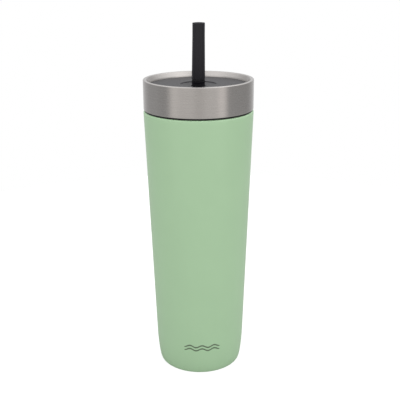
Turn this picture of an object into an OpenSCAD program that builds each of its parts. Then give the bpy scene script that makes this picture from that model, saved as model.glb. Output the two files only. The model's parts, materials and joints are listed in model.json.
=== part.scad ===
// Insulated travel tumbler: double-walled steel cup, steel-banded screw lid and a two-piece straw.
// Millimetres, +Z up, origin on the table at the centre of the foot.

/* [Tumbler] */
// Height of the mouth rim above the table
rim_z = 214.35; // [200:0.05:230]
// Outer radius just under the mouth rim
mouth_r = 42.95; // [42.8:0.05:43.5]
// Radius at which the straight flank would meet the table
flank_r = 35.5; // [34.5:0.1:37]
// Radius of the foot at the table
foot_r = 33.2; // [32.5:0.1:34]
// Height over which the flank rounds in to the foot
corner_h = 25.5; // [15:0.5:35]
// Fullness of that rounding, 2 being an ellipse
corner_n = 1.87; // [1.7:0.01:2.4]
// Thickness of the steel sheet
sheet = 0.5; // [0.4:0.05:0.6]
// Outer face of the shell to inner face of the liner
wall = 4.0; // [3.8:0.1:4.2]

/* [Lid] */
// Outer radius of the steel band
band_r = 42.8; // [42.5:0.05:43]
// Height of the steel band
band_h = 22.8; // [21.5:0.05:26]
// Height of the black line between cup and band
seam_h = 1.4; // [1:0.05:1.6]
// Thickness of the band's sheet
band_t = 0.6; // [0.5:0.05:0.7]
// Depth of the top cover's edge below the rim of the band
dish_depth = 4.05; // [3.9:0.05:4.6]
// Radius at which the funnel inside the band meets the cover
dish_r = 37.9; // [37.6:0.05:38.1]
// Radius of the shallow well round the straw
well_r = 14; // [11:0.1:15]

/* [Screw thread] */
// Rise of the lid in one full turn
lead = 12; // [11:0.5:13]
// Number of thread starts
starts = 3; // [2:1:3]
// Length of each thread ridge, in degrees
sweep = 150; // [110:5:150]

/* [Straw] */
// Height of the straw's tip above the rim of the band
straw_rise = 42; // [30:1:60]
// Radius of the mouth straw at its tip
tip_r = 4.75; // [4.3:0.05:4.9]
// Length of the cylindrical tip
tip_len = 9; // [8:0.5:12]
// Radius of the mouth straw at its root and of the post under it
root_r = 5.15; // [5.0:0.01:5.2]
// Radius of the drinking bore
bore_r = 2.8; // [2.6:0.05:2.8]
// Radius of the lower straw
dip_r = 4.0; // [3.9:0.05:4.1]

/* [Hidden] */
$fn = 96;

// Colours
c_paint = [0.66, 0.79, 0.63];
c_steel = [0.68, 0.66, 0.64];
c_black = [0.07, 0.07, 0.08];
c_charcoal = [0.30, 0.30, 0.33];
c_silicone = [0.17, 0.17, 0.19];
c_clear_grey = [0.42, 0.43, 0.45];
c_solder = [0.41, 0.41, 0.41];
c_getter = [0.50, 0.50, 0.50];

// Cup
flank_slope = (mouth_r - flank_r) / rim_z;
foot_round = 0.8;           // edge radius of the foot ring
mouth_round = 1.2;          // edge radius at the mouth
liner_floor_z = 9.5;
liner_corner_r = 7;
weld_z = 20;                // seam between the liner's tube and its bottom
neck_r = 38.6;              // bore of the threaded neck
neck_ramp = 1.1;            // height of the ramp from the land to the neck
land_r = 37.2;              // bore of the sealing land under the thread
land_z = [rim_z - 18.4, rim_z - 11.5];
land_ramp = 2.5;            // height of the ramp from the tapered wall to the land

// Foot and vacuum closure
foot_in_r = 30.5;           // inner wall of the foot channel
foot_wall_z = 4.0;
plate_z = 2.4;              // underside of the welded bottom
plate_t = 0.6;
plate_gap = 0.3;            // base cap to the wall of the foot channel
dimple_r = [4, 9];
dimple_rise = 2.0;
port_r = 1.0;
bead_r = [1.8, 2.2];        // solder bead at its lower and its upper edge
bead_z = [-0.8, -0.5, 0.8]; // its levels, from the port
getter_pos = [17, 0];
getter_r = 4.5;
getter_t = 1.8;
cup_t = 0.4;
cup_h = 2.4;
slip = 0.1;                 // clearance between pieces that are dropped into each other
press = 0.05;               // clearance between pieces that are pressed together

// Lid levels
seam_gap = 0.1;             // lid flange to mouth rim
band_z = rim_z + seam_h;
top_z = band_z + band_h;
cover_z = top_z - dish_depth;
well_z = cover_z - 1.5;      // floor of the well, at the straw
ledge_z = cover_z - 2.0;    // what the cover's edge sits on
cover_under_z = well_z - 1.5;
floor_z = rim_z - 17.9;     // underside of the plug's floor
floor_t = 2.0;

// Band and cover
rim_round = 0.65;           // outer edge radius of the band's rim
lip_round = 0.6;            // inner edge radius of the band's rim
lip_r = 40.1;               // where the funnel starts, just inside the rim
funnel_tail = 1.7;          // how far the band goes on down past the cover's edge
cover_gap = 0.4;            // cover to the funnel, all round
cover_edge = 0.4;           // edge radius of the cover
well_step = 0.5;            // height of the well's edge, from where its floor slopes to the straw
well_chamfer = 0.2;
cover_step = [1, 0.7];      // where the plate under the well thins to the dish
pinhole_r = 0.8;

// Plug
skirt_r = band_r - band_t;
skirt_t = 2;
skirt_rise = 1.2;           // skirt above the cover's ledge
ledge_w = 6;
ledge_t = 1.5;
flange_r = band_r - 0.8;
flange_rise = 1.7;          // the flange inside the band
plug_r = 36.9;
plug_wall = 3.0;
groove_r = 35.5;
groove_z = [floor_z + 1.6, floor_z + 5.2];
web_r = 3.2;                // hole in the floor, under the straw post
rib_t = 1.5;
rib_h = 6;
rib_foot = 0.5;             // how far ribs and the chimney run into what they meet
lip_reach = 0.5;            // how far the gasket's lips stand out from its body
lip_z = [0.5, 0.8, 1.4];    // start, crest's end and root of a lip, from the gasket's edge

// Vent
vent_pos = [0, 22];
vent_stem_r = 1.6;
vent_hole_r = 0.9;
vent_circle_r = 3.6;
chimney_r = [4.6, 5.6];
umbrella_r = 6.5;
umbrella_hub_r = 2.5;
barb = [0.7, 1.8];          // how far the stem's barb stands out, and its height

// Thread
ridge_base = 2.0;
ridge_crest = 1.0;
run_out = 0.3;              // share of the ridge's height that is left at its ends
root_sink = [0.25, 0.4];    // how deep the roots sit in the neck's and in the plug's wall
female_z = rim_z - 7.2;     // centre of each neck ridge at its low end
male_drop = 1.6;            // the lid's ridges hang this far below the neck's
female_crest_r = 37.35;
male_crest_r = 38.3;
station = 7.5;              // degrees between the thread's sections

// Straw, post and valve
join_z = top_z - 0.45;      // where the mouth straw meets the post
nipple_len = 11.4;
nipple_r = 3.95;
nipple_taper = [0.5, 1.2];
socket_r = 4.02;
straw_round = 0.5;          // edge radius at the tip
straw_foot = 0.3;           // chamfer at the root
hub_r = [5.3, 7.4];
collar_t = 1.5;
collar_z = cover_under_z - collar_t;
seal_z = floor_z + floor_t + 5;
seal_h = 2.4;
seal_seat_r = 3.9;
chamber_r = [8.2, 10];
chamber_h = 10;
valve_r = 8.1;
valve_in_r = 4.4;
valve_t = 2.8;
slit = [6, 0.2];            // length and width
dome_r = 2.5;               // the flat middle of the valve's dome
retainer_z = floor_z - chamber_h;
retainer_flange = 2.0;
socket_len = 12;
socket_wall = 1.8;
grip_r = 1.4;
dip_fit = 0.02;             // lower straw to its socket, all round
dip_end_z = liner_floor_z + 4.5;
notch_r = 1.6;
far = 1;                    // how far a cutting solid runs past a face

// Helpers

// Points on an arc of radius r about c, from angle a0 to a1
function arc(c, r, a0, a1, n = 8) = [for (i = [0:n]) let (a = a0 + (a1 - a0) * i / n) c + r * [cos(a), sin(a)]];

function unit(v) = v / norm(v);
function left(v) = [-v[1], v[0]];

// A path moved t to its left, with mitred corners
function moved(p, t) = [for (i = [0:len(p) - 1])
    let (a = left(unit(i == 0 ? p[1] - p[0] : p[i] - p[i - 1])),
         b = left(unit(i == len(p) - 1 ? p[i] - p[i - 1] : p[i + 1] - p[i])))
    p[i] + t * (a + b) / (1 + a * b)];

function reversed(p) = [for (i = [len(p) - 1:-1:0]) p[i]];

// Sheet metal spun round Z: the path is one face, the other lies t to its left
module spun_sheet(path, t) {
    rotate_extrude() polygon(concat(path, reversed(moved(path, t))));
}

// Rectangle between two radii and two heights, in the plane that is spun
module band2d(r0, r1, z0, z1) {
    translate([r0, z0]) square([r1 - r0, z1 - z0]);
}

// Outer radius of the cup at height z, for z above the rounded corner
function flank(z) = flank_r + flank_slope * z;

// Inner radius of the liner at height z
function liner_r(z) = flank(z) - wall;

// The corner from the foot up to the flank, a superellipse sheared along the flank's slope
function corner(n = 18) = [for (i = [0:n]) let (a = 90 * i / n)
    let (u = pow(sin(a), 2 / corner_n), w = 1 - pow(cos(a), 2 / corner_n))
    [foot_r + (flank_r - foot_r) * u + flank_slope * corner_h * w, corner_h * w]];

// One helical ridge from angle a0 over sweep degrees; both ends run out into the wall
module ridge(r_root, r_crest, z_low, a0) {
    n = round(sweep / station);
    section = function (i)
        let (a = a0 + sweep * i / n, z = z_low + lead * sweep * i / n / 360,
             crest = (i == 0 || i == n) ? r_root + run_out * (r_crest - r_root) : r_crest)
        [for (q = [[r_root, -ridge_base / 2], [crest, -ridge_crest / 2],
                   [crest, ridge_crest / 2], [r_root, ridge_base / 2]])
            [q[0] * cos(a), q[0] * sin(a), z + q[1]]];
    points = [for (i = [0:n]) each section(i)];
    inward = r_crest < r_root;
    sides = [for (i = [0:n - 1]) for (k = [0:3]) let (p = 4 * i + k, q = 4 * i + (k + 1) % 4)
        each [[p, q, q + 4], [p, q + 4, p + 4]]];
    ends = [[0, 3, 2], [0, 2, 1], [4 * n, 4 * n + 1, 4 * n + 2], [4 * n, 4 * n + 2, 4 * n + 3]];
    polyhedron(points, [for (f = concat(sides, ends)) inward ? reversed(f) : f]);
}

module ridges(r_root, r_crest, z_low) {
    for (k = [0:starts - 1]) ridge(r_root, r_crest, z_low, 360 * k / starts);
}

// Painted outer wall: foot channel, rounded corner, straight flank and turned-in mouth
module outer_shell() {
    foot = arc([foot_in_r + foot_round, foot_round], foot_round, 180, 270, 4);
    top = arc([flank(rim_z) - mouth_round, rim_z - mouth_round], mouth_round, 0, 90, 6);
    path = concat([[foot_in_r, foot_wall_z]], foot, corner(), top, [[neck_r + sheet, rim_z]]);
    color(c_paint) spun_sheet(path, sheet);
}

// Bare steel liner tube: tapered wall, sealing land and threaded neck
module inner_liner() {
    ramp_z = land_z[0] - land_ramp;
    path = [[liner_r(weld_z), weld_z], [liner_r(ramp_z), ramp_z], [land_r, land_z[0]],
            [land_r, land_z[1]], [neck_r, land_z[1] + neck_ramp], [neck_r, rim_z]];
    color(c_steel) union() {
        spun_sheet(path, -sheet);
        ridges(neck_r + root_sink[0], female_crest_r, female_z);
    }
}

// Pressed bottom of the liner, butt-welded to the tube
module liner_bottom() {
    corner_z = liner_floor_z + liner_corner_r;
    bend = arc([liner_r(corner_z) - liner_corner_r, corner_z], liner_corner_r, 270, 360, 8);
    color(c_steel) spun_sheet(concat([[0, liner_floor_z]], bend, [[liner_r(weld_z), weld_z]]), -sheet);
}

// Welded bottom of the shell, with the dimple that the vacuum is drawn through
module shell_bottom() {
    path = [[port_r, plate_z + dimple_rise], [dimple_r[0], plate_z + dimple_rise], [dimple_r[1], plate_z],
            [foot_in_r, plate_z], [foot_in_r, foot_wall_z]];
    color(c_steel) spun_sheet(path, plate_t);
}

// Thin steel disc that hides the dimple
module base_cap() {
    color(c_steel) rotate_extrude() band2d(0, foot_in_r - plate_gap, plate_z - plate_t, plate_z);
}

// Solder bead that closes the port
module port_seal() {
    plug = port_r - press;
    color(c_solder) translate([0, 0, plate_z + dimple_rise]) rotate_extrude()
        polygon([[0, bead_z[2]], [plug, bead_z[2]], [plug, 0], [bead_r[1], 0], [bead_r[0], bead_z[1]],
                 [0, bead_z[0]]]);
}

// Small steel cup that holds the getter
module getter_cup() {
    r = getter_r + slip;
    color(c_steel) translate([getter_pos[0], getter_pos[1], plate_z + plate_t]) rotate_extrude() {
        band2d(0, r + cup_t, 0, cup_t);
        band2d(r, r + cup_t, 0, cup_h);
    }
}

// Gas-absorbing pill
module getter() {
    color(c_getter) translate([getter_pos[0], getter_pos[1], plate_z + plate_t + cup_t])
        cylinder(r = getter_r, h = getter_t);
}

// Brushed steel band: straight outside, rolled rim, funnel down to the cover
module lid_band() {
    path = concat([[band_r, band_z]],
        arc([band_r - rim_round, top_z - rim_round], rim_round, 0, 90, 8),
        arc([lip_r + lip_round * sin(60), top_z - lip_round], lip_round, 90, 150, 4),
        [[dish_r, cover_z], [dish_r, cover_z - funnel_tail]]);
    color(c_steel) spun_sheet(path, band_t);
}

// Main moulding: skirt behind the band, flange, threaded plug, hub and valve chamber
module lid_body() {
    wall_r = plug_r - plug_wall;
    color(c_black) difference() {
        union() {
            rotate_extrude() {
                band2d(web_r, groove_r - far, floor_z, floor_z + floor_t);
                difference() {
                    band2d(wall_r, plug_r, floor_z, band_z);
                    band2d(groove_r, plug_r + far, groove_z[0], groove_z[1]);
                }
                band2d(wall_r, flange_r, rim_z + seam_gap, band_z);
                band2d(wall_r, skirt_r, band_z, band_z + flange_rise);
                band2d(skirt_r - skirt_t, skirt_r, band_z, cover_z + skirt_rise);
                band2d(skirt_r - ledge_w, skirt_r, ledge_z - ledge_t, ledge_z);
                band2d(hub_r[0], hub_r[1], floor_z, collar_z);
                band2d(chamber_r[0], chamber_r[1], retainer_z, floor_z + far);
            }
            ridges(plug_r - root_sink[1], male_crest_r, female_z - male_drop);
            translate([vent_pos[0], vent_pos[1], floor_z])
                cylinder(r = chimney_r[1], h = cover_under_z + rib_foot - floor_z);
            for (k = [0:5]) rotate(60 * k)
                translate([hub_r[1] - rib_foot, -rib_t / 2, floor_z + floor_t - rib_foot])
                    cube([wall_r - hub_r[1] + 2 * rib_foot, rib_t, rib_h]);
        }
        translate([vent_pos[0], vent_pos[1], floor_z - far]) {
            cylinder(r = vent_stem_r, h = floor_t + 2 * far);
            for (k = [0:2]) rotate(120 * k) translate([vent_circle_r, 0, 0])
                cylinder(r = vent_hole_r, h = floor_t + 2 * far);
            translate([0, 0, floor_t + far]) cylinder(r = chimney_r[0], h = cover_under_z - floor_z);
        }
    }
}

// Top cover: a shallow dish with a well round the straw and a pinhole that lets air in
module lid_cover() {
    r = dish_r - cover_gap;
    bore = root_r + 3 * press;
    edge = arc([r - cover_edge, cover_z - cover_edge], cover_edge, 90, 0, 4);
    rest_r = r - ledge_w + skirt_t;
    color(c_charcoal) difference() {
        rotate_extrude() polygon(concat(
            [[bore, cover_under_z], [bore, well_z], [well_r, cover_z - well_step],
             [well_r, cover_z - well_chamfer], [well_r + well_chamfer, cover_z]], edge,
            [[r, ledge_z], [rest_r, ledge_z], [well_r, cover_under_z] + cover_step, [well_r, cover_under_z]]));
        translate([vent_pos[0], vent_pos[1], cover_under_z - far])
            cylinder(r = pinhole_r, h = cover_z - cover_under_z + 2 * far);
    }
}

// Silicone ring with two lips, in the plug's groove
module lid_gasket() {
    back_r = groove_r + press;
    lip = land_r - slip;
    body_r = lip - lip_reach;
    low = groove_z[0] + slip;
    high = groove_z[1] - slip;
    color(c_silicone) rotate_extrude()
        polygon([[back_r, low], [body_r, low], [lip, low + lip_z[0]], [lip, low + lip_z[1]],
                 [body_r, low + lip_z[2]], [body_r, high - lip_z[2]], [lip, high - lip_z[1]],
                 [lip, high - lip_z[0]], [body_r, high], [back_r, high]]);
}

// Hard tube through the lid: nipple for the mouth straw above, O-ring seat below
module straw_post() {
    tip_z = join_z + nipple_len;
    color(c_black) difference() {
        rotate_extrude() {
            band2d(bore_r, root_r, floor_z + floor_t, join_z);
            band2d(bore_r, hub_r[1], collar_z, cover_under_z);
            polygon([[bore_r, join_z - far], [nipple_r, join_z - far], [nipple_r, tip_z - nipple_taper[1]],
                     [nipple_r - nipple_taper[0], tip_z], [bore_r, tip_z]]);
        }
        rotate_extrude() band2d(seal_seat_r, root_r + far, seal_z, seal_z + seal_h);
    }
}

// O-ring between the post and the hub
module post_seal() {
    r = [seal_seat_r + press, hub_r[0] - press / 2];
    color(c_silicone) rotate_extrude()
        translate([(r[0] + r[1]) / 2, seal_z + seal_h / 2]) circle(r = (r[1] - r[0]) / 2);
}

// Silicone valve: thick rim and a domed membrane with a cross slit
module straw_valve() {
    dome = [[0, -0.9], [dome_r, -1.1], [valve_in_r, -1.9], [valve_in_r, 0]];
    under = [[valve_in_r, -valve_t], [dome_r, -1.9], [0, -1.7]];
    color(c_silicone) translate([0, 0, floor_z - press]) difference() {
        rotate_extrude() polygon(concat(dome, [[valve_r, 0], [valve_r, -valve_t]], under));
        for (a = [0, 90]) rotate(a) translate([-slit[0] / 2, -slit[1] / 2, -valve_t - far])
            cube([slit[0], slit[1], valve_t + far]);
    }
}

// Cap that holds the valve up in its chamber and takes the lower straw in its socket
module valve_retainer() {
    flange_z = retainer_z - retainer_flange;
    color(c_black) difference() {
        rotate_extrude() {
            band2d(bore_r, valve_r, retainer_z, floor_z - valve_t - 2 * press);
            band2d(bore_r, chamber_r[1], flange_z, retainer_z);
            band2d(dip_r + dip_fit, dip_r + socket_wall, flange_z - socket_len, retainer_z - far);
        }
        for (k = [0:7]) rotate(45 * k + 22.5) translate([chamber_r[1] + grip_r / 2, 0, flange_z - far])
            cylinder(r = grip_r, h = retainer_flange + far, $fn = 32);
    }
}

// One-way umbrella under the plug's floor
module vent_valve() {
    stem = vent_stem_r - slip;
    inside = floor_t + 2 * press;
    color(c_silicone) translate([vent_pos[0], vent_pos[1], floor_z - press]) rotate_extrude()
        polygon([[0, -1.5], [umbrella_hub_r, -1.4], [umbrella_r, -0.5], [umbrella_r, 0], [stem, 0],
                 [stem, inside], [stem + barb[0], inside], [stem - barb[0] / 2, inside + barb[1]],
                 [0, inside + barb[1]]]);
}

// Long tube down to just above the floor, notched so that it can't seal against it
module lower_straw() {
    height = retainer_z - retainer_flange - press - dip_end_z;
    color(c_clear_grey) translate([0, 0, dip_end_z]) difference() {
        cylinder(r = dip_r, h = height);
        translate([0, 0, -far]) cylinder(r = bore_r, h = height + 2 * far);
        for (a = [0, 90]) rotate([90, 0, a]) cylinder(r = notch_r, h = 4 * dip_r, center = true);
    }
}

// Soft mouthpiece, tapered to a cylindrical tip
module mouth_straw() {
    low = join_z + press;
    high = top_z + straw_rise;
    socket_z = low + nipple_len + straw_foot;
    outside = arc([tip_r - straw_round, high - straw_round], straw_round, 0, 90, 6);
    inside = arc([bore_r + straw_round, high - straw_round], straw_round, 90, 180, 6);
    color(c_silicone) rotate_extrude() polygon(concat(
        [[socket_r, low], [root_r - straw_foot, low], [root_r, low + straw_foot], [tip_r, high - tip_len]],
        outside, inside, [[bore_r, socket_z + far], [socket_r, socket_z]]));
}

outer_shell();
inner_liner();
liner_bottom();
shell_bottom();
base_cap();
port_seal();
getter_cup();
getter();
lid_band();
lid_body();
lid_cover();
lid_gasket();
straw_post();
post_seal();
straw_valve();
valve_retainer();
vent_valve();
lower_straw();
mouth_straw();
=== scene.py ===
import math
import bmesh
import bpy
import numpy as np
from mathutils import Matrix
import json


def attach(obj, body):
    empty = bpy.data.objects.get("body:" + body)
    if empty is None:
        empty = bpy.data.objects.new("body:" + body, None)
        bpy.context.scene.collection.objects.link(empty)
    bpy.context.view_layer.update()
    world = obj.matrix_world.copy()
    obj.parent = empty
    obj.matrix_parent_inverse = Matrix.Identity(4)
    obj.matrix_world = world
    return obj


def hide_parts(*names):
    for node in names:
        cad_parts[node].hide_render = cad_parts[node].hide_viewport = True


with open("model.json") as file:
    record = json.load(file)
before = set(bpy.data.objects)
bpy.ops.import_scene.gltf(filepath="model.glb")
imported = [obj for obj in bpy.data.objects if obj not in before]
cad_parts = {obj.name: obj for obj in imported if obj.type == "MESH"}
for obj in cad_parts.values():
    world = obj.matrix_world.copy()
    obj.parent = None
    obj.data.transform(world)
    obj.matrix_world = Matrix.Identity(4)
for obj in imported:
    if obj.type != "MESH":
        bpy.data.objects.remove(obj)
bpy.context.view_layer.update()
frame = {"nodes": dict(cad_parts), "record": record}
mm = 0.001
onFace = 0.001 * mm  # points this close to a face's radius lie on it
fullTurn = 2 * math.pi


def arc(centre, radius, startDeg, endDeg, steps=10):
    # points on a circle in the (radius, height) plane
    a = np.radians(np.linspace(startDeg, endDeg, steps + 1))
    return np.column_stack([centre[0] + radius * np.cos(a), centre[1] + radius * np.sin(a)])


def roundedCorner(before, corner, after, steps, support):
    # the arc that touches both sides of a corner, and one more point just outside it on each side,
    # so that smooth shading stays flat on the flats
    p = np.array(corner[:2])
    a, b = np.array(before[:2]) - p, np.array(after[:2]) - p
    room = 0.5 * min(np.linalg.norm(a), np.linalg.norm(b))
    a, b = a / np.linalg.norm(a), b / np.linalg.norm(b)
    half = math.acos(float(np.clip(a @ b, -1, 1))) / 2
    radius = corner[2]
    if radius <= 0 or half > math.radians(88):
        return [p]
    cut = radius / math.tan(half)
    if cut > room:
        radius, cut = radius * room / cut, room
    centre = p + (a + b) / np.linalg.norm(a + b) * radius / math.sin(half)
    u, v = p + a * cut - centre, p + b * cut - centre
    turn = math.pi - 2 * half
    t = np.linspace(0, 1, steps + 1)[:, None]
    bend = list(centre + (u * np.sin((1 - t) * turn) + v * np.sin(t * turn)) / math.sin(turn))
    if cut + support < 0.98 * room:
        bend = [p + a * (cut + support)] + bend + [p + b * (cut + support)]
    return bend


def filletedLoop(corners, steps=4, support=0.10 * mm):
    # closed outline: corners are (radius, height, fillet) and every corner is rounded
    points = []
    for i, corner in enumerate(corners):
        points.extend(roundedCorner(corners[i - 1], corner, corners[(i + 1) % len(corners)], steps, support))
    return np.array(points)


def filletedPath(corners, steps=4, support=0.10 * mm):
    # open outline: its first and last points stay as they are
    points = [np.array(corners[0][:2])]
    for before, corner, after in zip(corners, corners[1:], corners[2:]):
        points.extend(roundedCorner(before, corner, after, steps, support))
    points.append(np.array(corners[-1][:2]))
    return np.array(points)


def denser(path, step):
    # splits every stretch longer than step into equal parts
    pieces = []
    for a, b in zip(path, path[1:]):
        n = max(1, math.ceil(np.linalg.norm(b - a) / step))
        pieces.append(a + (b - a) * np.arange(n)[:, None] / n)
    return np.vstack(pieces + [path[-1:]])


def offsetPath(path, thickness):
    # the path moved to its left, each point along the mitre of its two sides
    d = np.diff(path, axis=0)
    d /= np.linalg.norm(d, axis=1)[:, None]
    left = np.column_stack([-d[:, 1], d[:, 0]])
    a = np.vstack([left[:1], left])
    b = np.vstack([left, left[-1:]])
    return path + thickness * (a + b) / (1 + np.sum(a * b, axis=1))[:, None]


def sheetLoop(path, thickness):
    # closed outline of sheet metal: one face along the path, the other to its left
    return np.vstack([path, offsetPath(path, thickness)[::-1]])


def closedMesh(name, vertices, quads, triangles=None, sharpDeg=40):
    # puts the arrays into a mesh, turned the right way round by the sign of its volume
    faces = [quads[:, [0, 1, 2]], quads[:, [0, 2, 3]]]
    if triangles is not None:
        faces.append(triangles)
    corner = vertices[np.vstack(faces)]
    volume = np.sum(np.cross(corner[:, 0], corner[:, 1]) * corner[:, 2])
    if volume < 0:
        quads = quads[:, ::-1]
        triangles = None if triangles is None else triangles[:, ::-1]
    polygons = quads.tolist() + ([] if triangles is None else triangles.tolist())
    mesh = bpy.data.meshes.new(name)
    mesh.from_pydata(vertices.tolist(), [], polygons)
    mesh.polygons.foreach_set("use_smooth", np.ones(len(polygons), dtype=bool))
    mesh.set_sharp_from_angle(angle=math.radians(sharpDeg))
    mesh.update()
    piece = bpy.data.objects.new(name, mesh)
    bpy.context.scene.collection.objects.link(piece)
    return piece


def spun(name, outline, around=192, push=None, lean=None):
    # outline turned about Z: point (r, z) goes to (r cos a, r sin a, z). A closed outline gives a ring;
    # one that starts and ends on the axis gives a solid with a point at each pole. push(a, r, z) adds to
    # the radius, and lean(z) moves a level sideways along X
    outline = np.asarray(outline, float)
    a = np.arange(around) * fullTurn / around
    onAxis = outline[0, 0] < 1e-9 and outline[-1, 0] < 1e-9
    body = outline[1:-1] if onAxis else outline
    n = len(body)
    radius = np.repeat(body[:, :1], around, axis=1)
    height = np.repeat(body[:, 1:], around, axis=1)
    if push is not None:
        radius = radius + push(np.broadcast_to(a, radius.shape), radius, height)
    shift = 0 if lean is None else lean(height)
    grid = np.stack([radius * np.cos(a) + shift, radius * np.sin(a), height], axis=-1)
    i, j = np.meshgrid(np.arange(n - 1 if onAxis else n), np.arange(around), indexing="ij")
    i2, j2 = (i + 1) % n, (j + 1) % around
    quads = np.stack([i * around + j, i * around + j2, i2 * around + j2, i2 * around + j], -1).reshape(-1, 4)
    vertices = grid.reshape(-1, 3)
    triangles = None
    if onAxis:
        j = np.arange(around)
        j2 = (j + 1) % around
        first, last = len(vertices), len(vertices) + 1
        vertices = np.vstack([vertices, [[0, 0, outline[0, 1]], [0, 0, outline[-1, 1]]]])
        triangles = np.vstack([
            np.column_stack([np.full(around, first), j2, j]),
            np.column_stack([np.full(around, last), (n - 1) * around + j, (n - 1) * around + j2]),
        ])
    return closedMesh(name, vertices, quads, triangles)


def peg(radius, low, high, x=0.0, y=0.0, along=(0, 0, 1), around=48):
    # round cutter about the line through (x, y, 0) in direction along, from low to high on it
    piece = spun("cutter", [(0, low), (radius, low), (radius, high), (0, high)], around)
    if along != (0, 0, 1):
        piece.data.transform(Matrix(((0, 0, 1), (1, 0, 0), (0, 1, 0))).to_4x4() if along[0] else
                             Matrix(((1, 0, 0), (0, 0, 1), (0, -1, 0))).to_4x4())
    piece.data.transform(Matrix.Translation((x, y, 0)))
    return piece


def block(low, high, turnDeg=0.0):
    # box between two corners, turned about Z
    low, high = np.array(low), np.array(high)
    pick = np.array([[0, 0, 0], [1, 0, 0], [1, 1, 0], [0, 1, 0], [0, 0, 1], [1, 0, 1], [1, 1, 1], [0, 1, 1]])
    quads = np.array([[0, 3, 2, 1], [4, 5, 6, 7], [0, 1, 5, 4], [1, 2, 6, 5], [2, 3, 7, 6], [3, 0, 4, 7]])
    piece = closedMesh("cutter", low + pick * (high - low), quads)
    piece.data.transform(Matrix.Rotation(math.radians(turnDeg), 4, "Z"))
    return piece


def withoutSlivers(mesh, least=0.001 * mm):
    # merges points that an exact cut leaves almost on top of each other, and splits faces into sound triangles
    clean = bmesh.new()
    clean.from_mesh(mesh)
    bmesh.ops.remove_doubles(clean, verts=clean.verts, dist=least)
    bmesh.ops.dissolve_degenerate(clean, edges=clean.edges, dist=least)
    bmesh.ops.triangulate(clean, faces=clean.faces)
    clean.to_mesh(mesh)
    clean.free()


def shaped(piece, operation, *tools):
    # joins tools to a piece or cuts them away, as one clean mesh
    for tool in tools:
        step = piece.modifiers.new(operation, "BOOLEAN")
        step.operation = operation
        step.solver = "EXACT"
        step.use_hole_tolerant = True
        step.object = tool
    bpy.context.view_layer.update()
    graph = bpy.context.evaluated_depsgraph_get()
    mesh = bpy.data.meshes.new_from_object(piece.evaluated_get(graph))
    piece.modifiers.clear()
    piece.data = mesh
    withoutSlivers(mesh)
    mesh.set_sharp_from_angle(angle=math.radians(30))
    for tool in tools:
        bpy.data.objects.remove(tool)
    return piece


def nodeRing(node):
    # true outer radius, lowest and highest point of a CAD node: its vertices lie on its surface
    mesh = frame["nodes"][node].data
    co = np.empty(len(mesh.vertices) * 3, np.float32)
    mesh.vertices.foreach_get("co", co)
    co = co.reshape(-1, 3).astype(float)
    return float(np.hypot(co[:, 0], co[:, 1]).max()), float(co[:, 2].min()), float(co[:, 2].max())


def place(piece, body, slot, *nodes):
    # rides on a body, stands for its CAD nodes and takes its finish
    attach(piece, body)
    if nodes:
        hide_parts(*nodes)
    piece.data.materials.clear()
    piece.data.materials.append(finishes[slot])
    return piece


def colour(r, g, b, share=1.0):
    return (r * share, g * share, b * share, 1.0)


class Nodes:
    # a node tree that is built up in plain steps; a value that is a socket is linked, any other is set
    def __init__(self, tree, coordinates):
        self.tree = tree
        self.tree.nodes.clear()
        self.place = tree.nodes.new("ShaderNodeTexCoord").outputs[coordinates]

    def put(self, socket, value):
        if isinstance(value, bpy.types.NodeSocket):
            self.tree.links.new(value, socket)
        else:
            socket.default_value = value

    def maths(self, operation, a, b=0.0, c=0.0):
        node = self.tree.nodes.new("ShaderNodeMath")
        node.operation = operation
        for socket, value in zip(node.inputs, (a, b, c)):
            self.put(socket, value)
        return node.outputs[0]

    def stretch(self, value, low, high, newLow, newHigh, kind="LINEAR"):
        node = self.tree.nodes.new("ShaderNodeMapRange")
        node.interpolation_type = kind
        for socket, v in zip(node.inputs, (value, low, high, newLow, newHigh)):
            self.put(socket, v)
        return node.outputs[0]

    def noise(self, size, detail=2.0, roughness=0.5, at=None):
        node = self.tree.nodes.new("ShaderNodeTexNoise")
        self.put(node.inputs["Vector"], self.place if at is None else at)
        node.inputs["Scale"].default_value = 1 / size
        node.inputs["Detail"].default_value = detail
        node.inputs["Roughness"].default_value = roughness
        return node.outputs["Fac"]

    def cells(self, size):
        node = self.tree.nodes.new("ShaderNodeTexVoronoi")
        self.put(node.inputs["Vector"], self.place)
        node.feature = "SMOOTH_F1"
        node.inputs["Scale"].default_value = 1 / size
        return node.outputs["Distance"]

    def split(self):
        node = self.tree.nodes.new("ShaderNodeSeparateXYZ")
        self.put(node.inputs[0], self.place)
        return node.outputs

    def join(self, x, y, z):
        node = self.tree.nodes.new("ShaderNodeCombineXYZ")
        for socket, value in zip(node.inputs, (x, y, z)):
            self.put(socket, value)
        return node.outputs[0]

    def blendColour(self, factor, a, b):
        node = self.tree.nodes.new("ShaderNodeMix")
        node.data_type = "RGBA"
        self.put(node.inputs[0], factor)
        self.put(node.inputs[6], a)
        self.put(node.inputs[7], b)
        return node.outputs[2]

    def bump(self, height, depth, under=None):
        node = self.tree.nodes.new("ShaderNodeBump")
        node.inputs["Distance"].default_value = depth
        self.put(node.inputs["Height"], height)
        if under is not None:
            self.put(node.inputs["Normal"], under)
        return node.outputs["Normal"]


class Finish(Nodes):
    # one material with a principled shader, on object coordinates
    def __init__(self, name):
        self.material = bpy.data.materials.new(name)
        self.material.use_nodes = True
        super().__init__(self.material.node_tree, "Object")
        self.shader = self.tree.nodes.new("ShaderNodeBsdfPrincipled")
        output = self.tree.nodes.new("ShaderNodeOutputMaterial")
        self.tree.links.new(self.shader.outputs[0], output.inputs["Surface"])

    def surface(self, **values):
        for name, value in values.items():
            words = name.replace("_", " ")
            self.put(next(s for s in self.shader.inputs if s.name.lower() == words), value)


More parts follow.
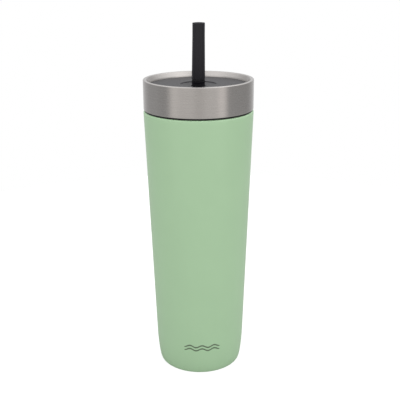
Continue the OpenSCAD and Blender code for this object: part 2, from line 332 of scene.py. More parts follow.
def powderCoat(name, v):
    # satin powder coat: fine orange peel over a faint grain, hardly any gloss
    f = Finish(name)
    grain = f.noise(v["grain"], 2.0, 0.6)
    cloud = f.noise(v["cloud"], 2.0)
    mix = f.stretch(f.maths("ADD", f.maths("MULTIPLY", cloud, 0.6), f.maths("MULTIPLY", grain, 0.4)),
                    0.3, 0.7, 0.0, 1.0)
    peel = f.bump(f.noise(v["peel"], 1.0), v["peelDepth"])
    f.surface(
        base_color=f.blendColour(mix, colour(*v["base"], v["shade"]), colour(*v["base"])),
        roughness=f.stretch(grain, 0.3, 0.7, v["roughness"] - 0.05, v["roughness"] + 0.05),
        coat_weight=v["coat"],
        coat_roughness=v["coatRoughness"],
        normal=f.bump(grain, v["grainDepth"], under=peel),
    )
    return f.material


def brushedSteel(name, v):
    # brushing runs round the axis: noise stretched along it, fine across it, with the height and the radius
    # added together so that walls, cones and flat discs all get lines that run round
    f = Finish(name)
    x, y, z = f.split()
    r = f.maths("SQRT", f.maths("ADD", f.maths("MULTIPLY", x, x), f.maths("MULTIPLY", y, y)))
    across = f.maths("ADD", z, r)
    slow = v["slow"]
    at = f.join(f.maths("MULTIPLY", x, slow), f.maths("MULTIPLY", y, slow), across)
    atWide = f.join(f.maths("MULTIPLY", x, slow * 2), f.maths("MULTIPLY", y, slow * 2), across)
    fine = f.noise(v["lines"], 3.0, 0.65, at)
    wide = f.noise(v["lines"] * 7, 2.0, 0.6, atWide)
    share = v["wideShare"]
    streak = f.maths("ADD", f.maths("MULTIPLY", fine, 1 - share), f.maths("MULTIPLY", wide, share))
    tone = f.stretch(streak, 0.35, 0.65, 0.0, 1.0)
    f.surface(
        base_color=f.blendColour(tone, colour(*v["base"], 1 - v["contrast"]),
                                 colour(*v["base"], 1 + v["contrast"])),
        metallic=1.0,
        roughness=f.stretch(streak, 0.3, 0.7, v["roughness"] + 0.05, v["roughness"] - 0.05),
        anisotropic=v["stretchedGloss"],
        anisotropic_rotation=0.25,
        normal=f.bump(fine, v["depth"]),
    )
    tangent = f.tree.nodes.new("ShaderNodeTangent")
    tangent.direction_type = "RADIAL"
    tangent.axis = "Z"
    f.put(f.shader.inputs["Tangent"], tangent.outputs[0])
    return f.material


def mouldedPlastic(name, v):
    # spark-eroded mould finish: small round-bottomed cells under a slow change of tone
    f = Finish(name)
    cells = f.cells(v["texture"])
    f.surface(
        base_color=f.blendColour(f.noise(v["cloud"], 2.0), colour(*v["base"], 0.9), colour(*v["base"], 1.08)),
        roughness=f.stretch(cells, 0.0, 0.6, v["roughness"] + 0.06, v["roughness"] - 0.04),
        specular_ior_level=v["specular"],
        normal=f.bump(cells, v["depth"]),
    )
    return f.material


def polishedPlastic(name, v):
    # polished mould: long soft waviness and a few fine rub marks
    f = Finish(name)
    rub = f.noise(v["rub"], 4.0, 0.7)
    f.surface(
        base_color=f.blendColour(rub, colour(*v["base"]), colour(*v["base"], 1.25)),
        roughness=f.stretch(rub, 0.4, 0.75, v["roughness"], v["roughness"] + 0.12),
        normal=f.bump(f.noise(v["wave"], 1.0), v["depth"]),
    )
    return f.material


def softSilicone(name, v):
    # matt silicone: tiny grain, and faint painted sheen along Z: light and dark streaks in the colour that
    # stand in for the straw's vertical sheen lines
    f = Finish(name)
    x, y, z = f.split()
    # painted sheen: noise stretched along Z gives vertical light and dark bands, mixed into the base colour
    lines = f.noise(v["sheenLineWidth"], 2.0, 0.5, f.join(x, y, f.maths("MULTIPLY", z, 0.02)))
    grain = f.noise(v["grain"], 2.0)
    tone = f.maths("ADD", f.maths("MULTIPLY", grain, 1 - v["sheenStreaks"]),
                   f.maths("MULTIPLY", lines, v["sheenStreaks"]))
    f.surface(
        base_color=f.blendColour(f.stretch(tone, 0.3, 0.7, 0.0, 1.0), colour(*v["base"], 0.82),
                                 colour(*v["base"], 1.18)),
        roughness=f.stretch(grain, 0.3, 0.7, v["roughness"] - 0.05, v["roughness"] + 0.05),
        specular_ior_level=v["specular"],
        normal=f.bump(grain, v["depth"]),
    )
    return f.material


def pressedPowder(name, v):
    # coarse grey grains pressed into a pill
    f = Finish(name)
    grain = f.noise(v["grain"], 4.0, 0.7)
    f.surface(base_color=f.blendColour(grain, colour(*v["base"], 0.6), colour(*v["base"], 1.3)),
              metallic=0.6, roughness=0.75, normal=f.bump(grain, v["depth"]))
    return f.material


def fusedGlass(name, v):
    # dark glass that melted and ran
    f = Finish(name)
    flow = f.noise(v["flow"], 3.0)
    f.surface(base_color=f.blendColour(flow, colour(*v["base"], 0.7), colour(*v["base"], 1.3)),
              roughness=0.12, normal=f.bump(flow, v["depth"]))
    return f.material


sagePaint = dict(base=(0.447, 0.668, 0.420), shade=0.965, roughness=0.42, coat=0.12, coatRoughness=0.22,
                 peel=0.9 * mm, peelDepth=0.006 * mm, grain=0.28 * mm, grainDepth=0.004 * mm, cloud=28 * mm)
bandSteel = dict(base=(0.47, 0.45, 0.435), roughness=0.28, lines=0.09 * mm, depth=0.0007 * mm,
                 contrast=0.06, slow=0.007, wideShare=0.10, stretchedGloss=0.70)
linerSteel = dict(bandSteel, base=(0.52, 0.51, 0.495), roughness=0.27, lines=0.16 * mm)
blackPlastic = dict(base=(0.008, 0.008, 0.0085), roughness=0.45, specular=0.25, texture=0.22 * mm,
                    depth=0.004 * mm, cloud=9 * mm)
coverPlastic = dict(blackPlastic, base=(0.022, 0.021, 0.026), roughness=0.45, specular=0.30)
glossBlack = dict(base=(0.005, 0.0045, 0.007), roughness=0.08, rub=0.5 * mm, wave=4 * mm, depth=0.01 * mm)
smokeTube = dict(glossBlack, base=(0.14, 0.145, 0.155), roughness=0.18)
# the straw's colour carries painted sheen streaks; the seal's share of them is zero
strawSilicone = dict(base=(0.0145, 0.0138, 0.0185), roughness=0.5, specular=0.3, sheenStreaks=0.75, grain=0.16 * mm,
                     sheenLineWidth=0.55 * mm, depth=0.003 * mm)
sealSilicone = dict(strawSilicone, base=(0.13, 0.13, 0.135), sheenStreaks=0.0)
getterPowder = dict(base=(0.3, 0.3, 0.31), grain=0.3 * mm, depth=0.03 * mm)
solderGlass = dict(base=(0.05, 0.05, 0.055), flow=0.9 * mm, depth=0.02 * mm)
printInk = dict(sagePaint, base=(0.130, 0.190, 0.118), shade=0.9, roughness=0.5)

finishes = {
    "painted_shell": powderCoat("sagePowderCoat", sagePaint),
    "brushed_band": brushedSteel("brushedBandSteel", bandSteel),
    "bare_steel": brushedSteel("brushedLinerSteel", linerSteel),
    "black_plastic": mouldedPlastic("blackMouldedPlastic", blackPlastic),
    "gloss_black_plastic": polishedPlastic("polishedBlackPlastic", glossBlack),
    "charcoal_plastic": mouldedPlastic("charcoalCoverPlastic", coverPlastic),
    "smoke_plastic": polishedPlastic("smokeTubePlastic", smokeTube),
    "grey_silicone": softSilicone("greySealSilicone", sealSilicone),
    "charcoal_silicone": softSilicone("charcoalStrawSilicone", strawSilicone),
    "getter_metal": pressedPowder("pressedGetterPowder", getterPowder),
    "solder_glass": fusedGlass("fusedSolderGlass", solderGlass),
}
print("finishes ready")

# levels and radii that pieces share, all from the frame
rimHigh = nodeRing("outer_shell")[2]
linerRadius, linerLow = nodeRing("inner_liner")[:2]
bandRadius, bandLow, bandHigh = nodeRing("lid_band")
coverRadius, _, coverHigh = nodeRing("lid_cover")
plugLow, plugHigh = nodeRing("lid_body")[1:]
gasketRadius, gasketLow, gasketHigh = nodeRing("lid_gasket")
postRadius, postLow, postHigh = nodeRing("straw_post")
strawLow, strawHigh = nodeRing("mouth_straw")[1:]
dipRadius, dipLow, dipHigh = nodeRing("lower_straw")
valveCapLow, valveCapHigh = nodeRing("valve_retainer")[1:]
capRadius, capLow, capHigh = nodeRing("base_cap")
weldHigh = nodeRing("liner_bottom")[2]

cup = dict(mouthRadius=42.95 * mm, flankRadius=35.5 * mm, footRadius=33.2 * mm, footInner=30.5 * mm,
           footWall=4.0 * mm, footRound=0.8 * mm, cornerHeight=25.5 * mm, cornerPower=1.87,
           mouthRound=1.2 * mm, sheet=0.5 * mm, wall=4.0 * mm, rows=2.5 * mm)
cup["slope"] = (cup["mouthRadius"] - cup["flankRadius"]) / rimHigh


def flank(z):
    # outer radius of the cup's straight side
    return cup["flankRadius"] + cup["slope"] * z


def cupCorner(v, steps=40):
    # superellipse from the foot up to the flank, sheared so that it meets the sloping flank smoothly
    a = np.linspace(0, math.pi / 2, steps + 1)
    out = np.sin(a) ** (2 / v["cornerPower"])
    up = 1 - np.cos(a) ** (2 / v["cornerPower"])
    r = v["footRadius"] + (v["flankRadius"] - v["footRadius"]) * out + v["slope"] * v["cornerHeight"] * up
    return np.column_stack([r, v["cornerHeight"] * up])


def sideRadius(z):
    # outer radius of the cup at any height above its foot
    low = cupCorner(cup)
    return np.where(z < cup["cornerHeight"], np.interp(z, low[:, 1], low[:, 0]), flank(z))


def makeShell(v):
    foot = arc((v["footInner"] + v["footRound"], v["footRound"]), v["footRound"], 180, 270, 6)
    top = arc((v["mouthRadius"] - v["mouthRound"], rimHigh - v["mouthRound"]), v["mouthRound"], 2, 90, 10)
    start, end = [[v["footInner"], v["footWall"]]], [[linerRadius, rimHigh]]
    path = denser(np.vstack([start, foot, cupCorner(v), top, end]), v["rows"])
    return spun("paintedShell", sheetLoop(path, v["sheet"]), 256)


place(makeShell(cup), "tumbler", "painted_shell", "outer_shell")

thread = dict(starts=3, lead=12 * mm, sweep=math.radians(150), base=2.0 * mm, crest=1.0 * mm,
              low=7.2 * mm, drop=1.6 * mm, neckCrest=37.35 * mm, plugCrest=38.3 * mm, fade=math.radians(9))


def ridges(a, z, low):
    # share of a thread ridge's height at angle a and level z: each ridge climbs by the lead in a turn, is
    # full within half its crest and gone at half its base, and fades out at both its ends
    v = thread
    most = np.zeros(np.shape(z))
    for k in range(v["starts"]):
        t = np.mod(a - fullTurn * k / v["starts"], fullTurn)
        away = np.abs(z - low - v["lead"] * t / fullTurn)
        across = np.clip((v["base"] / 2 - away) / ((v["base"] - v["crest"]) / 2), 0, 1)
        along = np.clip(np.minimum(t, v["sweep"] - t) / v["fade"], 0, 1)
        most = np.maximum(most, across * across * (3 - 2 * across) * along * (2 - along))
    return most


liner = dict(neck=38.6 * mm, land=37.2 * mm, landLow=18.4 * mm, landHigh=11.5 * mm, landRamp=2.5 * mm,
             neckRamp=1.1 * mm, neckLow=10.0 * mm, rowsBelow=9.9 * mm, rowsStop=0.2 * mm, sheet=0.5 * mm,
             rowStep=0.16 * mm)


def makeLiner(v):
    ramp = rimHigh - v["landLow"] - v["landRamp"]
    lower = filletedPath([
        (flank(linerLow) - cup["wall"], linerLow, 0),
        (flank(ramp) - cup["wall"], ramp, 3 * mm),
        (v["land"], rimHigh - v["landLow"], 1.5 * mm),
        (v["land"], rimHigh - v["landHigh"], 0.5 * mm),
        (v["neck"], rimHigh - v["landHigh"] + v["neckRamp"], 0.5 * mm),
        (v["neck"], rimHigh - v["neckLow"], 0),
    ])
    rows = np.arange(rimHigh - v["rowsBelow"], rimHigh - v["rowsStop"], v["rowStep"])
    neck = np.column_stack([np.full(len(rows), v["neck"]), rows])
    inside = np.vstack([denser(lower, 4 * mm), neck, [[v["neck"], rimHigh]]])
    outside = offsetPath(np.vstack([lower, [[v["neck"], rimHigh]]]), -v["sheet"])[::-1]

    def push(a, r, z):
        # neck ridges reach inwards from the neck's own face only
        face = (np.abs(r - v["neck"]) < onFace) & (z > rimHigh - v["neckLow"])
        return np.where(face, (thread["neckCrest"] - v["neck"]) * ridges(a, z, rimHigh - thread["low"]), 0.0)

    return spun("steelLiner", np.vstack([inside, outside]), 360, push)


place(makeLiner(liner), "tumbler", "bare_steel", "inner_liner")

bottom = dict(floor=9.5 * mm, corner=7 * mm, sheet=0.5 * mm, centre=0.5 * mm, rows=4 * mm)


def makeLinerBottom(v):
    corner = v["floor"] + v["corner"]
    r = flank(corner) - cup["wall"]
    bend = arc((r - v["corner"], corner), v["corner"], 270, 360, 16)
    start, weld = [[v["centre"], v["floor"]]], [[flank(weldHigh) - cup["wall"], weldHigh]]
    path = denser(np.vstack([start, bend, weld]), v["rows"])
    under = offsetPath(path, -v["sheet"])[::-1]
    topPole, lowPole = [[0.0, v["floor"]]], [[0.0, v["floor"] - v["sheet"]]]
    return spun("pressedLinerBottom", np.vstack([topPole, path, under, lowPole]), 128)


place(makeLinerBottom(bottom), "tumbler", "bare_steel", "liner_bottom")

footCap = dict(edge=0.15 * mm, ringRadius=24 * mm, ringWidth=1.6 * mm, ringDepth=0.2 * mm)


def makeFootCap(v):
    # stamped disc with one shallow raised ring, which is pressed up from below
    inner, outer = v["ringRadius"] - v["ringWidth"], v["ringRadius"] + v["ringWidth"]
    under = [
        (0.0, capLow, 0), (inner, capLow, 0.5 * mm),
        (inner + v["ringWidth"] / 2, capLow + v["ringDepth"], 0.5 * mm),
        (outer - v["ringWidth"] / 2, capLow + v["ringDepth"], 0.5 * mm), (outer, capLow, 0.5 * mm),
        (capRadius, capLow, v["edge"]), (capRadius, capHigh, v["edge"]), (0.0, capHigh, 0),
    ]
    return spun("stampedFootCap", denser(filletedPath(under), 3 * mm), 160)


place(makeFootCap(footCap), "tumbler", "bare_steel", "base_cap")
print("cup done")

mark = dict(width=30 * mm, stroke=1.3 * mm, height=0.9 * mm, waves=3, gap=2.9 * mm, level=25.6 * mm,
            azimuthDeg=-87.3, proud=0.03 * mm, sunk=0.02 * mm, along=160, lines=2)


def makeMark(v):
    # plain double wave: each stroke is a band along z = height cos(waves pi s), laid round the cup's side by
    # turning s into an angle, with square edges and the thickness of the ink
    s = np.linspace(-1, 1, v["along"] + 1)[:, None]
    edge = np.array([[-1, 0], [1, 0], [1, 1], [-1, 1]])
    vertices, quads = [], []
    for k in range(v["lines"]):
        taper = np.sqrt(np.clip(1 - s ** 12, 0.01, 1)) * v["stroke"] / 2
        middle = v["level"] - v["gap"] * k + v["height"] * np.cos(s * math.pi * v["waves"])
        z = middle + taper * edge[:, 0]
        r = sideRadius(z) - v["sunk"] + (v["proud"] + v["sunk"]) * edge[:, 1]
        a = math.radians(v["azimuthDeg"]) + s * v["width"] / 2 / flank(v["level"])
        grid = np.stack([r * np.cos(a), r * np.sin(a), z], axis=-1).reshape(-1, 3)
        start = k * len(grid)
        i, j = np.meshgrid(np.arange(v["along"]), np.arange(4), indexing="ij")
        j2 = (j + 1) % 4
        sides = np.stack([i * 4 + j, i * 4 + j2, (i + 1) * 4 + j2, (i + 1) * 4 + j], -1).reshape(-1, 4)
        caps = np.array([[3, 2, 1, 0], [0, 1, 2, 3]]) + [[0], [4 * v["along"]]]
        vertices.append(grid)
        quads.append(np.vstack([sides, caps]) + start)
    return closedMesh("waveMark", np.vstack(vertices), np.vstack(quads))


waveMark = place(makeMark(mark), "tumbler", "painted_shell")
waveMark.data.materials[0] = powderCoat("darkOliveInk", printInk)

band = dict(sheet=0.6 * mm, rimRound=0.65 * mm, lipRound=0.6 * mm, lipRadius=40.1 * mm, dishRadius=37.9 * mm,
            tail=1.7 * mm, edge=0.25 * mm, edgeSteps=5, rows=1.5 * mm)


def makeBand(v):
    start = arc((bandRadius - v["edge"], bandLow + v["edge"]), v["edge"], -90, 0, v["edgeSteps"])
    rim = arc((bandRadius - v["rimRound"], bandHigh - v["rimRound"]), v["rimRound"], 0, 90, 10)
    lipMiddle = v["lipRadius"] + v["lipRound"] * math.sin(math.radians(60))
    lip = arc((lipMiddle, bandHigh - v["lipRound"]), v["lipRound"], 90, 150, 8)
    funnel = np.array([[v["dishRadius"], coverHigh], [v["dishRadius"], coverHigh - v["tail"]]])
    path = denser(np.vstack([start, rim, lip, funnel]), v["rows"])
    inner = offsetPath(np.vstack([[[bandRadius, bandLow]], path[v["edgeSteps"] + 1:]]), v["sheet"])[::-1]
    return spun("steelBand", np.vstack([path, inner]), 256)


place(makeBand(band), "lid", "brushed_band", "lid_band")

cover = dict(bore=5.3 * mm, wellRadius=14.0 * mm, wellDepth=1.5 * mm, wellStep=0.5 * mm, wellRound=0.25 * mm,
             drain=(0.4 * mm, 0.8 * mm), plate=1.5 * mm, ledge=2.0 * mm, restWidth=4.0 * mm,
             step=(1.0 * mm, 0.7 * mm), edge=0.4 * mm, ventY=22 * mm, pinhole=0.8 * mm)


def makeCover(v):
    well = coverHigh - v["wellDepth"]
    under = well - v["plate"]
    ledge = coverHigh - v["ledge"]
    drainEdge = v["bore"] + v["drain"][0]
    slope = (v["wellDepth"] - v["wellStep"]) / (v["wellRadius"] - v["bore"])
    loop = filletedLoop([
        (v["bore"], under, 0.1 * mm), (v["bore"], well - v["drain"][1], 0.2 * mm),
        (drainEdge, well - v["drain"][1], 0.2 * mm), (drainEdge, well + slope * v["drain"][0], 0.2 * mm),
        (v["wellRadius"], coverHigh - v["wellStep"], v["wellRound"]),
        (v["wellRadius"], coverHigh, v["wellRound"]), (coverRadius, coverHigh, v["edge"]),
        (coverRadius, ledge, 0.15 * mm), (coverRadius - v["restWidth"], ledge, 0.2 * mm),
        (v["wellRadius"] + v["step"][0], under + v["step"][1], 0.3 * mm), (v["wellRadius"], under, 0.3 * mm),
    ], steps=6)
    piece = spun("coverDish", denser(np.vstack([loop, loop[:1]]), 3 * mm)[:-1], 192)
    return shaped(piece, "DIFFERENCE", peg(v["pinhole"], under - mm, coverHigh + mm, 0.0, v["ventY"]))


place(makeCover(cover), "lid", "charcoal_plastic", "lid_cover")

plug = dict(floorUnderRim=17.9 * mm, floorThick=2.0 * mm, radius=36.9 * mm, wall=3.0 * mm, groove=35.5 * mm,
            grooveRise=(1.6 * mm, 5.2 * mm), flangeInset=0.8 * mm, seamGap=0.1 * mm, flangeRise=1.7 * mm,
            skirt=2.0 * mm, ledgeWidth=6.0 * mm, ledgeThick=1.5 * mm, webRadius=3.2 * mm,
            hub=(5.3 * mm, 7.4 * mm), collar=1.5 * mm, chamber=(8.2 * mm, 10.0 * mm), rib=(1.5 * mm, 6.0 * mm),
            ribFoot=0.5 * mm, chimney=(4.6 * mm, 5.6 * mm), stemHole=1.6 * mm, ventHole=0.9 * mm,
            ventCircle=3.6 * mm, edge=0.2 * mm, rowsBelow=(11.6 * mm, 1.2 * mm), rowStep=0.16 * mm)


def makePlug(v):
    floorLow = rimHigh - v["floorUnderRim"]
    floorHigh = floorLow + v["floorThick"]
    grooveLow, grooveHigh = floorLow + v["grooveRise"][0], floorLow + v["grooveRise"][1]
    flangeLow = rimHigh + v["seamGap"]
    flange = bandRadius - v["flangeInset"]
    skirt = bandRadius - band["sheet"]
    inside = v["radius"] - v["wall"]
    ledge = coverHigh - cover["ledge"]
    under = coverHigh - cover["wellDepth"] - cover["plate"]
    collarLow = under - v["collar"]
    e = v["edge"]
    firstRow, lastRow = rimHigh - v["rowsBelow"][0], rimHigh - v["rowsBelow"][1]
    outer = filletedPath([
        (v["webRadius"], floorLow, 0), (v["chamber"][0], floorLow, e), (v["chamber"][0], plugLow, e),
        (v["chamber"][1], plugLow, e), (v["chamber"][1], floorLow, e), (v["radius"], floorLow, 2 * e),
        (v["radius"], grooveLow, e), (v["groove"], grooveLow, e), (v["groove"], grooveHigh, e),
        (v["radius"], grooveHigh, e), (v["radius"], firstRow, 0),
    ])
    rows = np.arange(firstRow + v["rowStep"], lastRow, v["rowStep"])
    threaded = np.column_stack([np.full(len(rows), v["radius"]), rows])
    upper = filletedPath([
        (v["radius"], lastRow, 0), (v["radius"], flangeLow, e), (flange, flangeLow, e), (flange, bandLow, 0),
        (skirt, bandLow, 0), (skirt, plugHigh, e), (skirt - v["skirt"], plugHigh, e),
        (skirt - v["skirt"], ledge, e), (skirt - v["ledgeWidth"], ledge, e),
        (skirt - v["ledgeWidth"], ledge - v["ledgeThick"], e), (skirt - v["skirt"], ledge - v["ledgeThick"], e),
        (skirt - v["skirt"], bandLow + v["flangeRise"], e), (inside, bandLow + v["flangeRise"], e),
        (inside, floorHigh, 2 * e), (v["hub"][1], floorHigh, 2 * e), (v["hub"][1], collarLow, e),
        (v["hub"][0], collarLow, e), (v["hub"][0], floorHigh, e), (v["webRadius"], floorHigh, 0),
    ])

    def push(a, r, z):
        # plug ridges stand out from its threaded wall only
        face = (np.abs(r - v["radius"]) < onFace) & (z > firstRow) & (z < lastRow)
        return np.where(face, (thread["plugCrest"] - v["radius"])
                        * ridges(a, z, rimHigh - thread["low"] - thread["drop"]), 0.0)

    piece = spun("threadedPlug", np.vstack([outer, threaded, upper]), 300, push)
    foot = v["ribFoot"]
    ribs = [block((v["hub"][1] - foot, -v["rib"][0] / 2, floorHigh - foot),
                  (inside + foot, v["rib"][0] / 2, floorHigh - foot + v["rib"][1]), 60 * k) for k in range(6)]
    chimney = peg(v["chimney"][1], floorLow + foot, under + foot, 0.0, cover["ventY"])
    shaped(piece, "UNION", *ribs, chimney)
    a = np.arange(3) * fullTurn / 3
    holes = [peg(v["ventHole"], floorLow - mm, floorHigh + mm, v["ventCircle"] * math.cos(t),
                 cover["ventY"] + v["ventCircle"] * math.sin(t), around=24) for t in a]
    stem = peg(v["stemHole"], floorLow - mm, floorHigh + mm, 0.0, cover["ventY"], around=32)
    bore = peg(v["chimney"][0], floorHigh, under + mm, 0.0, cover["ventY"])
    return shaped(piece, "DIFFERENCE", stem, bore, *holes)


place(makePlug(plug), "lid", "black_plastic", "lid_body")

gasket = dict(back=35.55 * mm, lipReach=0.5 * mm, rise=(0.5 * mm, 0.8 * mm, 1.4 * mm), edge=0.12 * mm)


def makeGasket(v):
    # flat-backed ring with two lips, each a small wedge with a blunt crest
    low, high, lip = gasketLow, gasketHigh, gasketRadius
    body = lip - v["lipReach"]
    up = v["rise"]
    return spun("plugGasket", filletedLoop([
        (v["back"], low, v["edge"]), (body, low, v["edge"]), (lip, low + up[0], v["edge"]),
        (lip, low + up[1], v["edge"]), (body, low + up[2], v["edge"]), (body, high - up[2], v["edge"]),
        (lip, high - up[1], v["edge"]), (lip, high - up[0], v["edge"]), (body, high, v["edge"]),
        (v["back"], high, v["edge"]),
    ]), 192)


place(makeGasket(gasket), "seal_ring", "grey_silicone", "lid_gasket")
print("lid done")

straw = dict(bore=2.8 * mm, root=5.15 * mm, tip=4.75 * mm, tipLength=9 * mm, socket=4.02 * mm,
             socketDepth=11.7 * mm, tipRound=0.5 * mm, footChamfer=0.3 * mm, tilt=0.0105)


def strawLean(z):
    # the straw leans a little to the right from where it leaves the cover
    return straw["tilt"] * np.clip(z - coverHigh, 0, None)


def makeStraw(v):
    # slow taper from the root to a cylindrical tip, with a blunt lip round the drinking bore
    socket = strawLow + v["socketDepth"]
    loop = filletedLoop([
        (v["socket"], strawLow, 0), (v["root"] - v["footChamfer"], strawLow, 0.1 * mm),
        (v["root"], strawLow + v["footChamfer"], 0.2 * mm), (v["tip"], strawHigh - v["tipLength"], 6 * mm),
        (v["tip"], strawHigh, v["tipRound"]), (v["bore"], strawHigh, v["tipRound"]),
        (v["bore"], socket + mm, 0.3 * mm), (v["socket"], socket, 0.3 * mm),
    ], steps=6)
    return spun("mouthStraw", denser(np.vstack([loop, loop[:1]]), 2 * mm)[:-1], 96, lean=strawLean)


place(makeStraw(straw), "mouth_straw", "charcoal_silicone", "mouth_straw")

post = dict(bore=2.8 * mm, radius=5.15 * mm, nipple=3.95 * mm, nippleTaper=(0.5 * mm, 1.2 * mm),
            joinGap=0.05 * mm, seat=3.9 * mm, seatRise=5.0 * mm, seatHeight=2.4 * mm, edge=0.12 * mm)


def makePost(v):
    # tube with a collar under the cover, a groove for its O-ring and a nipple for the mouth straw
    join = strawLow - v["joinGap"]
    under = coverHigh - cover["wellDepth"] - cover["plate"]
    collar = under - plug["collar"]
    seat = postLow + v["seatRise"]
    e = v["edge"]
    loop = filletedLoop([
        (v["bore"], postLow, e), (v["radius"], postLow, e), (v["radius"], seat, e), (v["seat"], seat, e),
        (v["seat"], seat + v["seatHeight"], e), (v["radius"], seat + v["seatHeight"], e),
        (v["radius"], collar, e), (postRadius, collar, e), (postRadius, under, e), (v["radius"], under, e),
        (v["radius"], join, e), (v["nipple"], join, e), (v["nipple"], postHigh - v["nippleTaper"][1], e),
        (v["nipple"] - v["nippleTaper"][0], postHigh, e), (v["bore"], postHigh, e),
    ])
    return spun("strawPost", denser(np.vstack([loop, loop[:1]]), 2 * mm)[:-1], 96, lean=strawLean)


place(makePost(post), "lid", "gloss_black_plastic", "straw_post")

dip = dict(bore=2.8 * mm, notch=1.6 * mm, edge=0.15 * mm)


def makeDipStraw(v):
    # tube that is notched across its end both ways
    loop = filletedLoop([(v["bore"], dipLow, v["edge"]), (dipRadius, dipLow, v["edge"]),
                         (dipRadius, dipHigh, v["edge"]), (v["bore"], dipHigh, v["edge"])])
    piece = spun("dipStraw", denser(np.vstack([loop, loop[:1]]), 5 * mm)[:-1], 96)
    reach = 2 * dipRadius
    tools = [peg(v["notch"], -reach, reach, along=(1, 0, 0)), peg(v["notch"], -reach, reach, along=(0, 1, 0))]
    for tool in tools:
        tool.data.transform(Matrix.Translation((0, 0, dipLow)))
    return shaped(piece, "DIFFERENCE", *tools)


place(makeDipStraw(dip), "lid", "smoke_plastic", "lower_straw")

valveCap = dict(bore=2.8 * mm, spigot=8.1 * mm, flange=2.0 * mm, socket=4.02 * mm, socketWall=1.8 * mm,
                grip=1.4 * mm, grips=8, edge=0.2 * mm)


def makeValveCap(v):
    # spigot up into the chamber, gripped flange and a socket down for the lower straw
    e = v["edge"]
    rim = dipRadius + v["socketWall"]
    flangeLow = plugLow - v["flange"]
    piece = spun("valveCap", filletedLoop([
        (v["socket"], valveCapLow, e), (rim, valveCapLow, e), (rim, flangeLow, 2 * e),
        (plug["chamber"][1], flangeLow, e), (plug["chamber"][1], plugLow, e), (v["spigot"], plugLow, e),
        (v["spigot"], valveCapHigh, e), (v["bore"], valveCapHigh, e), (v["bore"], flangeLow, e),
        (v["socket"], flangeLow, 0),
    ]), 160)
    centre = plug["chamber"][1] + v["grip"] / 2
    a = (np.arange(v["grips"]) + 0.5) * fullTurn / v["grips"]
    return shaped(piece, "DIFFERENCE", *[peg(v["grip"], flangeLow - mm, plugLow, centre * math.cos(t),
                                             centre * math.sin(t), around=32) for t in a])


place(makeValveCap(valveCap), "lid", "black_plastic", "valve_retainer")
print("straw and valve done")

slots = {part["node"]: part["material_slot"] for part in frame["record"]["subparts"]}
for nodeName, piece in frame["nodes"].items():
    if not piece.hide_render:
        piece.data.materials.clear()
        piece.data.materials.append(finishes[slots[nodeName]])

studio = dict(floorRadius=0.55, floorShade=0.48, glow=0.80, shownShade=0.30)


def makeFloor(v):
    # pale disc that the camera sees as nearly white, with a soft contact shadow
    a = np.arange(96) * fullTurn / 96
    rim = np.column_stack([v["floorRadius"] * np.cos(a), v["floorRadius"] * np.sin(a), np.zeros(96)])
    mesh = bpy.data.meshes.new("studioFloor")
    mesh.from_pydata(rim.tolist(), [], [list(range(96))])
    floor = bpy.data.objects.new("studioFloor", mesh)
    bpy.context.scene.collection.objects.link(floor)
    material = bpy.data.materials.new("paleFloor")
    material.use_nodes = True
    tree = material.node_tree
    tree.nodes.clear()
    output = tree.nodes.new("ShaderNodeOutputMaterial")
    path = tree.nodes.new("ShaderNodeLightPath")
    mixed = tree.nodes.new("ShaderNodeMixShader")
    shown = tree.nodes.new("ShaderNodeAddShader")
    dim = tree.nodes.new("ShaderNodeBsdfDiffuse")
    dim.inputs["Color"].default_value = colour(1, 1, 1, v["floorShade"])
    glow = tree.nodes.new("ShaderNodeEmission")
    glow.inputs["Strength"].default_value = v["glow"]
    matt = tree.nodes.new("ShaderNodeBsdfDiffuse")
    matt.inputs["Color"].default_value = colour(1, 1, 1, v["shownShade"])
    tree.links.new(glow.outputs[0], shown.inputs[0])
    tree.links.new(matt.outputs[0], shown.inputs[1])
    tree.links.new(path.outputs["Is Camera Ray"], mixed.inputs[0])
    tree.links.new(dim.outputs[0], mixed.inputs[1])
    tree.links.new(shown.outputs[0], mixed.inputs[2])
    tree.links.new(mixed.outputs[0], output.inputs["Surface"])
    mesh.materials.append(material)


# each card is a soft-edged patch of light: its middle's azimuth (0 in front, 90 on the right, 180 behind),
# the half width that is fully lit, and the width over which it fades out, all in degrees. A card with light
# below zero takes light away. above is the share of its light that is left over the horizon
cards = [
    dict(azimuth=-2, half=52, fade=16, light=0.40, above=1.0, tint=(1.05, 1.0, 0.95)),
    dict(azimuth=2, half=2, fade=16, light=-0.11, above=1.0, tint=(1.0, 1.0, 1.0)),
    dict(azimuth=-50, half=3, fade=9, light=0.11, above=1.0, tint=(1.05, 1.0, 0.95)),
    dict(azimuth=51, half=6, fade=7, light=0.23, above=1.0, tint=(1.06, 0.98, 0.95)),
    dict(azimuth=-115, half=10, fade=30, light=0.07, above=1.0, tint=(0.98, 1.0, 1.06)),
    dict(azimuth=180, half=2, fade=60, light=0.46, above=0.8, tint=(1.0, 1.0, 1.02)),
]
room = dict(base=0.42, overhead=1.40, overheadFrom=0.22, overheadTo=0.75, rightBoost=0.35, middleDim=0.16)


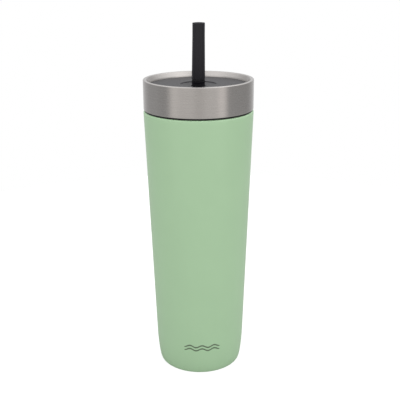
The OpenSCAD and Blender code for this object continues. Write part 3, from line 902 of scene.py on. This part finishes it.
def makeWorld(v):
    world = bpy.data.worlds.new("softStudio")
    bpy.context.scene.world = world
    world.use_nodes = True
    f = Nodes(world.node_tree, "Generated")
    x, y, z = f.split()
    azimuth = f.maths("ARCTAN2", x, f.maths("MULTIPLY", y, -1.0))
    total = f.join(v["base"], v["base"], v["base"])
    for card in cards:
        away = f.maths("ABSOLUTE", f.maths("SUBTRACT", azimuth, math.radians(card["azimuth"])))
        away = f.maths("MINIMUM", away, f.maths("SUBTRACT", fullTurn, away))
        edge = math.radians(card["half"])
        lit = f.stretch(away, edge, edge + math.radians(card["fade"]), card["light"], 0.0, "SMOOTHSTEP")
        if card["above"] != 1:
            lit = f.maths("MULTIPLY", lit, f.stretch(z, 0.0, 0.12, 1.0, card["above"]))
        add = f.tree.nodes.new("ShaderNodeVectorMath")
        add.operation = "MULTIPLY_ADD"
        f.put(add.inputs[0], f.join(lit, lit, lit))
        f.put(add.inputs[1], card["tint"])
        f.put(add.inputs[2], total)
        total = add.outputs[0]
    high = f.stretch(z, v["overheadFrom"], v["overheadTo"], 0.0, 1.0)
    right = f.stretch(x, -0.1, 0.6, v["overhead"], v["overhead"] + v["rightBoost"])
    middle = f.stretch(f.maths("ABSOLUTE", x), 0.05, 0.32, 1 - v["middleDim"], 1.0, "SMOOTHSTEP")
    top = f.maths("MULTIPLY", right, middle)
    sky = f.blendColour(high, total, f.join(top, top, top))
    path = f.tree.nodes.new("ShaderNodeLightPath")
    seen = f.blendColour(path.outputs["Is Camera Ray"], sky, colour(1.0, 1.0, 1.0))
    back = f.tree.nodes.new("ShaderNodeBackground")
    f.put(back.inputs["Color"], seen)
    output = f.tree.nodes.new("ShaderNodeOutputWorld")
    f.tree.links.new(back.outputs[0], output.inputs["Surface"])


camera = dict(place=(0.0007, -0.5486, 0.3227), pitch=-18.43, roll=-0.344, focal=63.9, sensor=36.0)


def makeCamera(v):
    data = bpy.data.cameras.new("productCamera")
    data.lens = v["focal"]
    data.sensor_width = v["sensor"]
    data.clip_start = 0.01
    piece = bpy.data.objects.new("productCamera", data)
    bpy.context.scene.collection.objects.link(piece)
    turned = (Matrix.Rotation(math.radians(90 + v["pitch"]), 4, "X")
              @ Matrix.Rotation(math.radians(v["roll"]), 4, "Z"))
    piece.matrix_world = Matrix.Translation(v["place"]) @ turned
    bpy.context.scene.camera = piece


makeFloor(studio)
makeWorld(room)
makeCamera(camera)
bpy.context.scene.view_settings.view_transform = "Standard"
print("studio done")
